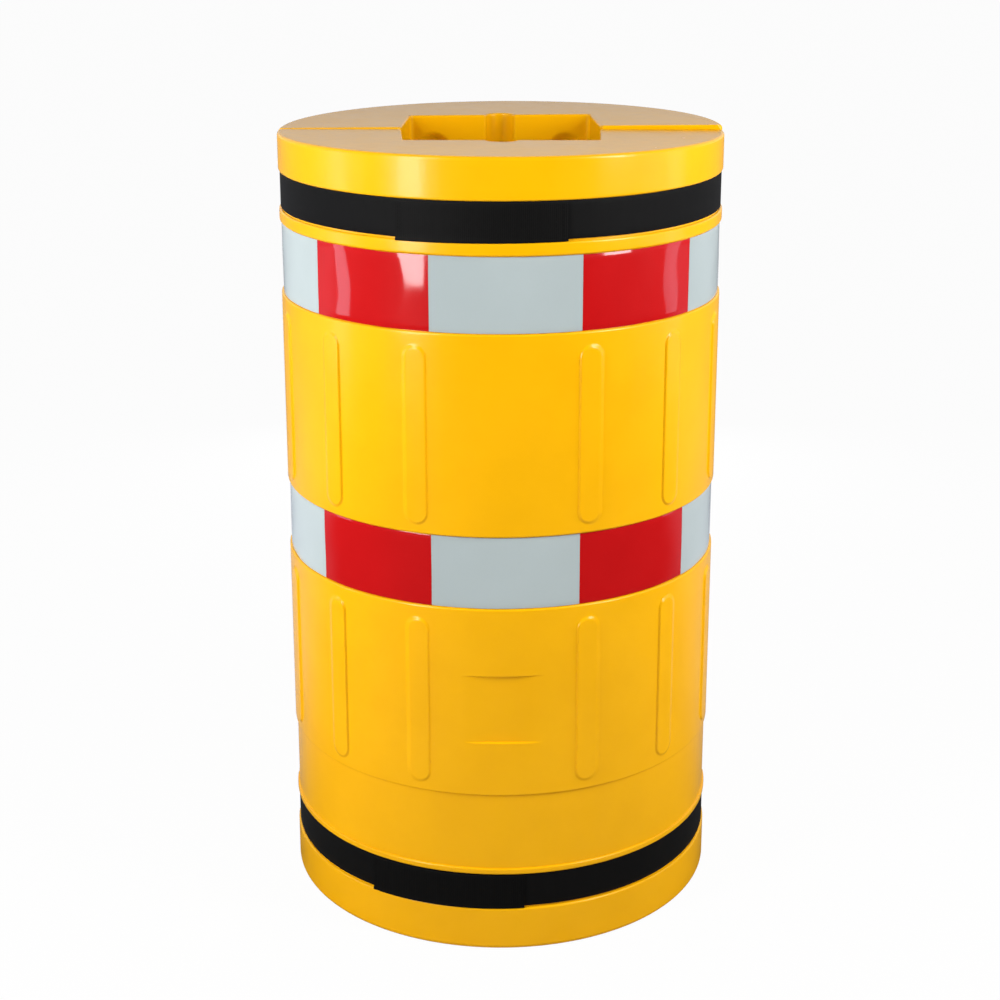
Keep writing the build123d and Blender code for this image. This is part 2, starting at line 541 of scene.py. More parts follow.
def make_piece(name: str, bm: Shape, finish: Finish) -> Piece:
    """Closes a bmesh and turns it into a smooth-shaded piece at the origin.

    Args:
        name: The piece's name.
        bm: The finished shape in the part's frame. It is freed.
        finish: The piece's material.

    Returns:
        The new object.
    """
    bmesh.ops.remove_doubles(bm, verts=bm.verts, dist=MERGE_DISTANCE)
    bmesh.ops.recalc_face_normals(bm, faces=bm.faces)
    for face in bm.faces:
        face.smooth = True
    mesh = bpy.data.meshes.new(name)
    bm.to_mesh(mesh)
    bm.free()
    mesh.set_sharp_from_angle(angle=SHARP_ANGLE)
    mesh.materials.append(finish)
    piece = add_object(name, mesh)
    return piece


def weigh_normals(piece: Piece) -> None:
    """Lets the large faces of a piece keep their own shading beside small rounds."""
    modifier = piece.modifiers.new("large faces first", "WEIGHTED_NORMAL")
    modifier.keep_sharp = True


def turned(bm: Shape, verts: Iterable[Vert], angle: float) -> None:
    """Turns vertices about the column's axis."""
    spin = Matrix.Rotation(angle, 3, "Z")
    bmesh.ops.rotate(bm, verts=list(verts), cent=(0, 0, 0), matrix=spin)


def push_out(vertex: Vert, by: float) -> None:
    """Moves a vertex away from the column's axis."""
    share = by / radius_of(vertex.co)
    vertex.co += Vector((vertex.co.x * share, vertex.co.y * share, 0))


def extruded(bm: Shape, edges: Sequence[Edge]) -> tuple[list[Vert], list[Edge]]:
    """Extrudes edges by one step.

    Args:
        bm: The shape.
        edges: The edges to extrude.

    Returns:
        The new vertices and the new edges, still where the old ones are.
    """
    made = bmesh.ops.extrude_edge_only(bm, edges=list(edges))["geom"]
    verts = [part for part in made if isinstance(part, Vert)]
    fresh = [part for part in made if isinstance(part, Edge)]
    return verts, fresh


def wire(bm: Shape, points: Sequence[Sequence[float]]) -> list[Vert]:
    """Joins a few points by edges.

    Args:
        bm: The shape.
        points: The points in order.

    Returns:
        The vertices in order.
    """
    verts = [bm.verts.new(point) for point in points]
    for pair in zip(verts, verts[1:]):
        bm.edges.new(pair)
    return verts


def rounded(bm: Shape, what: Rounding, geom: Sequence[Any], radius: float, segments: int) -> None:
    """Rounds edges of a surface or corners of a wire.

    Args:
        bm: The shape.
        what: Whether edges or corners are rounded.
        geom: The edges or the corners.
        radius: How far the rounding reaches from each.
        segments: How many steps it has.
    """
    bmesh.ops.bevel(
        bm,
        geom=list(geom),
        offset=radius,
        offset_type="OFFSET",
        segments=segments,
        profile=0.5,
        affect=what.value,
        material=-1,
    )


def cut_rows(bm: Shape, levels: Iterable[float]) -> None:
    """Cuts a wire at levels.

    Args:
        bm: The wire.
        levels: Heights above the floor.
    """
    for level in levels:
        bmesh.ops.bisect_plane(
            bm,
            geom=bm.verts[:] + bm.edges[:],
            dist=MERGE_DISTANCE,
            plane_co=(0, 0, level),
            plane_no=(0, 0, 1),
        )


def cut_faces(bm: Shape, faces: list[Face], point: Vector, normal: Vector) -> list[Face]:
    """Cuts faces of a surface along a plane.

    Args:
        bm: The surface.
        faces: Its faces that are cut.
        point: A point of the plane.
        normal: The plane's normal.

    Returns:
        The faces after the cut.
    """
    made = bmesh.ops.bisect_plane(
        bm,
        geom=list({part for face in faces for part in (face, *face.edges, *face.verts)}),
        dist=MERGE_DISTANCE,
        plane_co=point,
        plane_no=normal,
    )
    return [part for part in made["geom"] if isinstance(part, Face)]


def nearest_face(faces: Iterable[Face], point: Vector) -> Face:
    """The face whose middle lies nearest to a point."""
    return min(faces, key=lambda face: (face.calc_center_median() - point).length)


@dataclass(frozen=True)
class Arc:
    """A stretch of band round the column: its radii, its levels and its angles."""

    inner: float
    outer: float
    low: float
    high: float
    start: float
    end: float

    @classmethod
    def of_node(cls, node: str, facing: float = 0.0) -> "Arc":
        """Reads the stretch that a node of the part holds.

        Args:
            node: The node's name.
            facing: The turn of the middle that angles are counted from.

        Returns:
            The node's arc.
        """
        points = [vertex.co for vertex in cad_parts[node].data.vertices]
        radii = [radius_of(point) for point in points]
        angles = [wrapped(bearing_of(point) - facing) for point in points]
        low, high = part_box(node)
        return cls(min(radii), max(radii), low.z, high.z, min(angles), max(angles))

    @property
    def level(self) -> float:
        """The middle of its height."""
        return (self.low + self.high) / 2


@dataclass
class Band:
    """A flat band on edge along an arc, with rounded edges and rows across its width."""

    arc: Arc
    edge_round: float
    column_step: float
    row_step: float
    facing: float = 0.0
    edge_segments: int = 2

    def build(self) -> Shape:
        """Sweeps the band's section along its arc and closes both ends.

        Returns:
            The closed band.
        """
        bm = bmesh.new()
        arc = self.arc
        section = wire(
            bm,
            [
                (0, -arc.inner, arc.low),
                (0, -arc.outer, arc.low),
                (0, -arc.outer, arc.high),
                (0, -arc.inner, arc.high),
            ],
        )
        bm.edges.new((section[-1], section[0]))
        rounded(bm, Rounding.CORNERS, section, self.edge_round, self.edge_segments)
        cut_rows(bm, evenly(arc.low, arc.high, self.row_step)[1:-1])
        turned(bm, bm.verts, self.facing + arc.start)
        bmesh.ops.spin(
            bm,
            geom=bm.verts[:] + bm.edges[:],
            cent=(0, 0, 0),
            axis=(0, 0, 1),
            angle=arc.end - arc.start,
            steps=round((arc.end - arc.start) * arc.outer / self.column_step),
            use_merge=False,
        )
        ends = [edge for edge in bm.edges if len(edge.link_faces) == 1]
        bmesh.ops.edgeloop_fill(bm, edges=ends)
        return bm

    def shape(self, bm: Shape, move: Callable[[float, float], Span]) -> None:
        """Moves the band's surface a little.

        Args:
            bm: The built band.
            move: Gives the shift outwards and upwards at an angle and a level.
        """
        for vertex in bm.verts:
            angle = wrapped(bearing_of(vertex.co) - self.facing)
            outwards, upwards = move(angle, vertex.co.z)
            push_out(vertex, outwards)
            vertex.co.z += upwards

    def map_weave(self, bm: Shape, layer: str) -> None:
        """Maps the band so that its weave follows it, in metres along and across.

        Args:
            bm: The built band.
            layer: The map's name.
        """
        uv = bm.loops.layers.uv.new(layer)
        middle = self.facing + (self.arc.start + self.arc.end) / 2
        for face in bm.faces:
            for loop in face.loops:
                point = loop.vert.co
                angle = wrapped(bearing_of(point) - middle) + middle
                loop[uv].uv = (angle * self.arc.outer, point.z - self.arc.level)


@dataclass(frozen=True)
class Moulding:
    """The sizes of the half moulding: its solid's, with softer ribs and shallower dimples."""

    foot_height: float = 64.0 * MM
    strap_groove_height: float = 52.0 * MM
    lip_height: float = 9.0 * MM
    plain_band_height: float = 111.0 * MM
    lower_panel_height: float = 269.6 * MM
    film_recess_height: float = 100.0 * MM
    upper_panel_height: float = 271.2 * MM
    collar_height: float = 17.2 * MM
    rim_height: float = 54.0 * MM
    outer_radius: float = 307.5 * MM
    strap_groove_depth: float = 4.1 * MM
    film_recess_depth: float = 3.9 * MM
    plain_band_depth: float = 2.8 * MM
    lip_round: float = 3.0 * MM
    lip_share: float = 0.7
    root_round: float = 0.6 * MM
    foot_round: float = 8.0 * MM
    rim_round: float = 5.0 * MM
    seam_gap: float = 0.6 * MM
    seam_round: float = 6.0 * MM
    rib_width: float = 32.0 * MM
    rib_height: float = 2.5 * MM
    rib_pitch: float = radians(25.3)
    rib_middle_gap: float = radians(43.0)
    ribs_per_side: int = 3
    rib_end_margin: float = 16.0 * MM
    rib_crisp_flank: float = 2.4 * MM
    rib_soft_flank: float = 9.0 * MM
    rib_soft_spread: float = 4.5 * MM
    rib_drop: float = 2.5 * MM
    pad_width: float = 100.0 * MM
    pad_height: float = 98.0 * MM
    pad_base_margin: float = 77.0 * MM
    pad_ledge: float = 1.6 * MM
    pad_zone: float = radians(45.0)
    channel_half: float = 130.0 * MM
    channel_draft: float = radians(3.3)
    channel_corner: float = 6.0 * MM
    channel_mouth_round: float = 6.0 * MM
    channel_top_round: float = 3.0 * MM
    cable_groove_radius: float = 20.0 * MM
    cable_groove_round: float = 3.5 * MM
    dimple_radius: float = 24.0 * MM
    dimple_depth: float = 8.0 * MM
    dimple_draft: float = radians(55.0)
    dimple_spacing: float = 190.0 * MM
    dimple_top_margin: float = 50.0 * MM
    dimple_rows: int = 4
    dimple_pitch: float = 320.0 * MM
    dimple_round: float = 2.5 * MM
    dimple_land: float = 4.5 * MM
    dimple_border: float = 1.125 * MM

    @property
    def bands(self) -> list[Span]:
        """The bands of the outside.

        Returns:
            Height and depth of each, from the floor up.
        """
        return [
            (self.foot_height, 0.0),
            (self.strap_groove_height, self.strap_groove_depth),
            (self.lip_height, 0.0),
            (self.plain_band_height, self.plain_band_depth),
            (self.lower_panel_height, 0.0),
            (self.film_recess_height, self.film_recess_depth),
            (self.upper_panel_height, 0.0),
            (self.film_recess_height, self.film_recess_depth),
            (self.collar_height, 0.0),
            (self.strap_groove_height, self.strap_groove_depth),
            (self.rim_height, 0.0),
        ]

    @property
    def height(self) -> float:
        """Height of the half."""
        return sum(height for height, _ in self.bands)

    @property
    def panels(self) -> list[Span]:
        """The two ribbed panels.

        Returns:
            Base and top of the lower one, then of the upper one.
        """
        levels = [0.0]
        for height, _ in self.bands:
            levels.append(levels[-1] + height)
        return [(levels[4], levels[5]), (levels[6], levels[7])]

    @property
    def rib_angles(self) -> list[float]:
        """Angles of the middle lines of one side's ribs."""
        first = self.rib_middle_gap / 2
        return [first + place * self.rib_pitch for place in range(self.ribs_per_side)]

    @property
    def rib_zone(self) -> float:
        """How far a rib's soft flank reaches from its middle line."""
        return self.rib_width / 2 + self.rib_soft_spread

    @property
    def pad_base(self) -> float:
        """Level of the pad's lower edge."""
        return self.panels[0][0] + self.pad_base_margin

    @property
    def seam_face(self) -> float:
        """Where the front half's parting face lies."""
        return -self.seam_gap / 2

    @property
    def arc_end(self) -> float:
        """Angle where the outside ends and the seam's rounding starts."""
        return acos((self.seam_round - self.seam_face) / self.outer_radius)

    @property
    def dimple_levels(self) -> list[float]:
        """Levels of the dimples in the channel."""
        top = self.height - self.dimple_top_margin
        return [top - row * self.dimple_pitch for row in range(self.dimple_rows)]


@dataclass(frozen=True)
class TopWarp:
    """How far the top of a half, as seen facing it, stands off its nominal level."""

    left: float
    right: float
    crown: float

    def rise(self, across: float, out: float) -> float:
        """Rise at shares of the way from left to right, and from the seam to the front."""
        return self.left + (self.right - self.left) * across + self.crown * out


@dataclass
class HalfShell:
    """The moulded half: its banded and ribbed outside, its parting faces and its channel."""

    finish: Finish
    sizes: Moulding = field(default_factory=Moulding)
    front_top: TopWarp = TopWarp(-3.2 * MM, -4.8 * MM, 5.5 * MM)
    rear_top: TopWarp = TopWarp(1.2 * MM, -2.6 * MM, 0.2 * MM)
    lip_segments: int = 5
    root_segments: int = 2
    large_segments: int = 7
    top_segments: int = 4
    dimple_segments: int = 3
    plain_step: float = 7.5 * MM
    rib_step: float = 1.6 * MM
    flank_step: float = 0.8 * MM
    rib_end_step: float = 1.0 * MM
    panel_step: float = 24.0 * MM
    top_step: float = 62.0 * MM
    ledge_rows: tuple[float, ...] = (-0.4, 0.0, 0.33, 0.67, 1.0, 1.5)

    def outline(self, bm: Shape) -> None:
        """Draws the outside's profile at the middle of the half, with its rounds and its rows.

        Args:
            bm: Takes the profile.
        """
        sizes = self.sizes
        radius = sizes.outer_radius
        points = [(0, -radius + 2 * sizes.foot_round, 0), (0, -radius, 0)]
        rounds = [(0.0, 1), (sizes.foot_round, self.large_segments)]
        level = 0.0
        rows = []
        for (height, depth), (_, following) in zip(sizes.bands, sizes.bands[1:]):
            level += height
            lip = min(sizes.lip_round, sizes.lip_share * abs(following - depth))
            pair = [(lip, self.lip_segments), (sizes.root_round, self.root_segments)]
            points += [(0, -radius + depth, level), (0, -radius + following, level)]
            rounds += pair if following > depth else pair[::-1]
            rows += [level - 2 * sizes.lip_round, level + 2 * sizes.lip_round]
        points += [(0, -radius, sizes.height), (0, -radius + 2 * sizes.rim_round, sizes.height)]
        rounds += [(sizes.rim_round, self.large_segments), (0.0, 1)]
        corners = wire(bm, points)
        for size, segments in sorted(set(rounds)):
            if size:
                pairs = zip(corners, rounds)
                chosen = [corner for corner, each in pairs if each == (size, segments)]
                rounded(bm, Rounding.CORNERS, chosen, size, segments)
        cut_rows(bm, rows + self.panel_rows())

    def panel_rows(self) -> list[float]:
        """Levels of the rows that carry the ribs' ends, the panels and the pad.

        Returns:
            The levels, in metres.
        """
        sizes = self.sizes
        rows = []
        spread, zone = sizes.rib_soft_spread, sizes.rib_zone
        for base, top in sizes.panels:
            low = base + sizes.rib_end_margin - sizes.rib_drop
            high = top - sizes.rib_end_margin - sizes.rib_drop
            rows += evenly(low - spread, low + zone, self.rib_end_step)
            rows += evenly(high - zone, high + spread, self.rib_end_step)
            rows += evenly(low + zone, high - zone, self.panel_step)[1:-1]
        for edge, inward in ((sizes.pad_base, 1), (sizes.pad_base + sizes.pad_height, -1)):
            rows += [edge + inward * share * sizes.pad_ledge for share in self.ledge_rows]
        return rows

    def column_angles(self) -> list[float]:
        """Angles of the columns from the middle to the seam, close together on the ribs' flanks.

        Returns:
            The angles in order.
        """
        sizes = self.sizes
        radius = sizes.outer_radius
        zone = sizes.rib_zone
        crown = sizes.rib_width / 2 - sizes.rib_soft_flank
        across = (
            evenly(-zone, -crown, self.flank_step)
            + evenly(-crown, crown, self.rib_step)[1:-1]
            + evenly(crown, zone, self.flank_step)
        )
        angles = [0.0]
        for middle in sizes.rib_angles:
            plain = evenly(angles[-1], middle - zone / radius, self.plain_step / radius)
            angles += plain[1:-1] + [middle + offset / radius for offset in across]
        return angles + evenly(angles[-1], sizes.arc_end, self.plain_step / radius)[1:]

    def rib_rise(self, angle: float, level: float) -> float:
        """How far the ribs stand out of a panel at one point.

        Args:
            angle: Angle from the middle of the half.
            level: Height above the floor.

        Returns:
            The rise, in metres.
        """
        sizes = self.sizes
        panel = next((pair for pair in sizes.panels if pair[0] < level < pair[1]), None)
        if panel is None:
            return 0.0
        middle = min(sizes.rib_angles, key=lambda place: abs(place - angle))
        along = (angle - middle) * sizes.outer_radius
        straight = (panel[1] - panel[0]) / 2 - sizes.rib_end_margin - sizes.rib_width / 2
        over = max(abs(level + sizes.rib_drop - sum(panel) / 2) - straight, 0.0)
        reach = hypot(along, over)
        softness = (1 + (along / reach if reach else 0.0)) / 2
        flank = sizes.rib_crisp_flank + (sizes.rib_soft_flank - sizes.rib_crisp_flank) * softness
        edge = sizes.rib_width / 2 + sizes.rib_soft_spread * softness
        return sizes.rib_height * smooth_step((edge - reach) / flank)

    def pad_sink(self, angle: float, level: float) -> float:
        """How far the flat pad lies below the round panel at one point.

        Args:
            angle: Angle from the middle of the half.
            level: Height above the floor.

        Returns:
            The sink, in metres.
        """
        sizes = self.sizes
        inside = min(level - sizes.pad_base, sizes.pad_base + sizes.pad_height - level)
        if inside <= 0 or abs(angle) > sizes.pad_zone:
            return 0.0
        flat = sqrt(sizes.outer_radius**2 - (sizes.pad_width / 2) ** 2)
        sink = max(sizes.outer_radius - flat / cos(angle), 0.0)
        return sink * smooth_step(inside / sizes.pad_ledge)

    def wrap_outside(self, bm: Shape) -> list[Edge]:
        """Sweeps the profile to the seam, raises the ribs, sinks the pad and rounds the seam.

        Args:
            bm: Holds the profile.

        Returns:
            The outer side of the parting face.
        """
        sizes = self.sizes
        angles = self.column_angles()
        edges = bm.edges[:]
        for here, there in zip(angles, angles[1:]):
            verts, edges = extruded(bm, edges)
            turned(bm, verts, there - here)
        for vertex in bm.verts:
            spot = bearing_of(vertex.co), vertex.co.z
            push_out(vertex, self.rib_rise(*spot) - self.pad_sink(*spot))
        turns = evenly(0.0, pi / 2, pi / 2 / self.lip_segments)
        for here, there in zip(turns, turns[1:]):
            verts, edges = extruded(bm, edges)
            across = sizes.seam_round * (cos(there) - cos(here))
            back = sizes.seam_round * (sin(there) - sin(here))
            bmesh.ops.translate(bm, verts=verts, vec=(across, back, 0))
        for vertex in verts:
            vertex.co.y = sizes.seam_face
        return edges

    def cut_channel(self, bm: Shape) -> Edge:
        """Draws one side of the column channel in plan, raises its walls, presses its dimples.

        Args:
            bm: Holds the outside.

        Returns:
            The inner side of the parting face.
        """
        sizes = self.sizes
        half = sizes.channel_half
        groove = sizes.cable_groove_radius
        mouth = half + (half + sizes.seam_face) * tan(sizes.channel_draft)
        land = mouth + 3 * sizes.channel_mouth_round
        seam = sizes.seam_face
        points = [(land, seam, 0), (mouth, seam, 0), (half, -half, 0), (groove, -half, 0)]
        plan = wire(bm, points)
        for corner, radius in zip(plan[1:3], (sizes.channel_mouth_round, sizes.channel_corner)):
            rounded(bm, Rounding.CORNERS, [corner], radius, self.lip_segments)
        bmesh.ops.spin(
            bm,
            geom=plan[3:],
            cent=(0, -half, 0),
            axis=(0, 0, 1),
            angle=-pi / 2,
            steps=self.large_segments,
            use_merge=False,
        )
        loose = {vertex for edge in bm.edges if not edge.link_faces for vertex in edge.verts}
        bmesh.ops.remove_doubles(bm, verts=list(loose), dist=MERGE_DISTANCE)
        loose = {vertex for edge in bm.edges if not edge.link_faces for vertex in edge.verts}
        lip = min(loose, key=lambda vertex: (vertex.co - Vector(points[3])).length)
        rounded(bm, Rounding.CORNERS, [lip], sizes.cable_groove_round, self.lip_segments)
        verts, _ = extruded(bm, [edge for edge in bm.edges if not edge.link_faces])
        bmesh.ops.translate(bm, verts=verts, vec=(0, 0, sizes.height))
        bm.normal_update()
        self.press_dimples(bm)
        sides = [edge for edge in bm.edges if len(edge.link_faces) == 1]
        uprights = [edge for edge in sides if edge.calc_length() > sizes.height / 2]
        return max(uprights, key=lambda edge: edge.verts[0].co.x)

    def press_dimples(self, bm: Shape) -> None:
        """Presses a column of round dimples into the channel's back wall.

        Args:
            bm: Holds the channel's walls.
        """
        sizes = self.sizes
        middle = Vector((sizes.dimple_spacing / 2, -sizes.channel_half, sizes.height / 2))
        centres = [Vector((middle.x, middle.y, level)) for level in sizes.dimple_levels]
        reach = sizes.dimple_radius + sizes.dimple_land
        across, up = Vector((1, 0, 0)), Vector((0, 0, 1))
        walls = [nearest_face(bm.faces, middle)]
        for point, normal in [(middle, across)] + [(centre, up) for centre in centres]:
            for way in (-reach, reach):
                walls = cut_faces(bm, walls, point + way * normal, normal)
        squares = [nearest_face(walls, centre) for centre in centres]
        for square, centre in zip(squares, centres):
            self.press_dimple(bm, square, centre)

    def press_dimple(self, bm: Shape, face: Face, centre: Vector) -> None:
        """Presses one dimple into a square face of the wall.

        Args:
            bm: The half.
            face: The square.
            centre: Its middle.
        """
        sizes = self.sizes
        inset = partial(bmesh.ops.inset_individual, bm, faces=[face], use_even_offset=True)
        bmesh.ops.bisect_edges(bm, edges=face.edges[:], cuts=self.large_segments)
        inset(thickness=sizes.dimple_border)
        for vertex in face.verts:
            arm = vertex.co - centre
            vertex.co = centre + arm * (sizes.dimple_radius / arm.length)
        mouth = face.edges[:]
        face.normal_update()
        inwards = sizes.dimple_depth * (1 if face.normal.y < 0 else -1)
        inset(thickness=sizes.dimple_depth * tan(sizes.dimple_draft), depth=inwards)
        edges = mouth + face.edges[:]
        rounded(bm, Rounding.EDGES, edges, sizes.dimple_round, self.dimple_segments)

    def fill_parting(self, bm: Shape, column: list[Edge], land: Edge) -> None:
        """Fills the parting face.

        Args:
            bm: The outside and the channel.
            column: The face's outer side.
            land: Its inner side.
        """
        outer = [vertex for edge in column for vertex in edge.verts]
        ends = [vertex for vertex in outer if outer.count(vertex) == 1]
        pairs = zip(*(sorted(verts, key=lambda each: each.co.z) for verts in (ends, land.verts)))
        sills = [bm.edges.new(pair) for pair in pairs]
        bmesh.ops.edgeloop_fill(bm, edges=[*column, land, *sills])

    def close(self, bm: Shape) -> None:
        """Fills the foot and the top, rounds the top's inner edges and cuts the top into a grid.

        Args:
            bm: The half, open above and below.
        """
        sizes = self.sizes
        open_edges = [edge for edge in bm.edges if len(edge.link_faces) == 1]
        top = [edge for edge in open_edges if edge.verts[0].co.z > sizes.height / 2]
        bmesh.ops.edgeloop_fill(bm, edges=[edge for edge in open_edges if edge not in top])
        bmesh.ops.edgeloop_fill(bm, edges=top)
        bmesh.ops.recalc_face_normals(bm, faces=bm.faces)
        within = sizes.outer_radius - 2 * sizes.rim_round - sizes.seam_round
        middles = [(edge, (edge.verts[0].co + edge.verts[1].co) / 2) for edge in top]
        inner = [edge for edge, middle in middles if radius_of(middle) < within]
        rounded(bm, Rounding.EDGES, inner, sizes.channel_top_round, self.top_segments)
        crest = sizes.height - sizes.channel_top_round - MERGE_DISTANCE
        lid = [
            face
            for face in bm.faces
            if max(vertex.co.z for vertex in face.verts) >= crest
            and radius_of(face.calc_center_bounds()) < within
        ]
        for axis in (Vector((1, 0, 0)), Vector((0, 1, 0))):
            for place in evenly(-sizes.outer_radius, sizes.outer_radius, self.top_step)[1:-1]:
                lid = cut_faces(bm, lid, axis * place, axis)

    def warp_top(self, bm: Shape, warp: TopWarp) -> None:
        """Lets the upper part of the rim follow a warped top.

        Args:
            bm: The closed half, still facing the front.
            warp: How its top stands.
        """
        sizes = self.sizes
        base = sizes.height - sizes.rim_height / 2
        for vertex in bm.verts:
            if vertex.co.z > base:
                share = (vertex.co.z - base) / (sizes.height - base)
                across = (vertex.co.x / sizes.outer_radius + 1) / 2
                vertex.co.z += share * warp.rise(across, -vertex.co.y / sizes.outer_radius)

    def model(self) -> Shape:
        """Models the front half: one side of it, its mirror image, then what closes both.

        Returns:
            The closed half.
        """
        bm = bmesh.new()
        self.outline(bm)
        column = self.wrap_outside(bm)
        self.fill_parting(bm, column, self.cut_channel(bm))
        whole = bm.verts[:] + bm.edges[:] + bm.faces[:]
        bmesh.ops.mirror(bm, geom=whole, axis="X", merge_dist=MERGE_DISTANCE)
        bmesh.ops.remove_doubles(bm, verts=bm.verts, dist=MERGE_DISTANCE)
        self.close(bm)
        return bm

    def build(self) -> list[Piece]:
        """Sets the moulding in place of both solids, turned round for the rear half.

        Returns:
            The two pieces.
        """
        front = self.model()
        shapes = (front, front.copy())
        pieces = []
        for half, bm, warp in zip(Half, shapes, (self.front_top, self.rear_top)):
            self.warp_top(bm, warp)
            turned(bm, bm.verts, half.value)
            name = f"{half.word}_shell_moulding"
            piece = make_piece(name, bm, self.finish)
            weigh_normals(piece)
            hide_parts(f"{half.word}_half_shell")
            pieces.append(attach(piece, half.body))
        return pieces


@dataclass
class FilmBand:
    """The five film blocks in one recess of a half, each laid on a slightly wavy floor.

    Each of the waves has its share, its pace along, its pace upwards and its phase.
    """

    half: Half
    row: Row
    finishes: Mapping[bool, Finish]
    edge_round: float = 0.12 * MM
    column_step: float = 5.0 * MM
    row_step: float = 8.0 * MM
    wave_height: float = 0.3 * MM
    wave_length: float = 108.0 * MM
    cross_length: float = 150.0 * MM
    waves: tuple[tuple[float, ...], ...] = ((0.6, 1.0, 1.0, 0.0), (0.4, 1.3, -1.7, 1.0))

    def wave(self, angle: float, level: float) -> Span:
        """Low waves of the floor under the film.

        Args:
            angle: Angle from the middle of the half.
            level: Height above the floor.

        Returns:
            The shift outwards and the shift upwards, in metres.
        """
        along = TURN * angle * CAD_BOX[1].x / self.wave_length
        up = TURN * level / self.cross_length
        waves = (share * sin(a * along + b * up + phase) for share, a, b, phase in self.waves)
        return self.wave_height * (1 + sum(waves)), 0.0

    def build(self) -> list[Piece]:
        """Models the blocks and sets them in place of their solids.

        Returns:
            The pieces.
        """
        pieces = []
        facing = self.half.value
        for block in Block:
            node = f"{self.half.word}_{self.row.word}_film_{block.word}"
            arc = Arc.of_node(node, facing)
            band = Band(arc, self.edge_round, self.column_step, self.row_step, facing)
            bm = band.build()
            band.shape(bm, self.wave)
            piece = make_piece(f"{node}_sheet", bm, self.finishes[block.red])
            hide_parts(node)
            pieces.append(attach(piece, self.half.body))
        return pieces


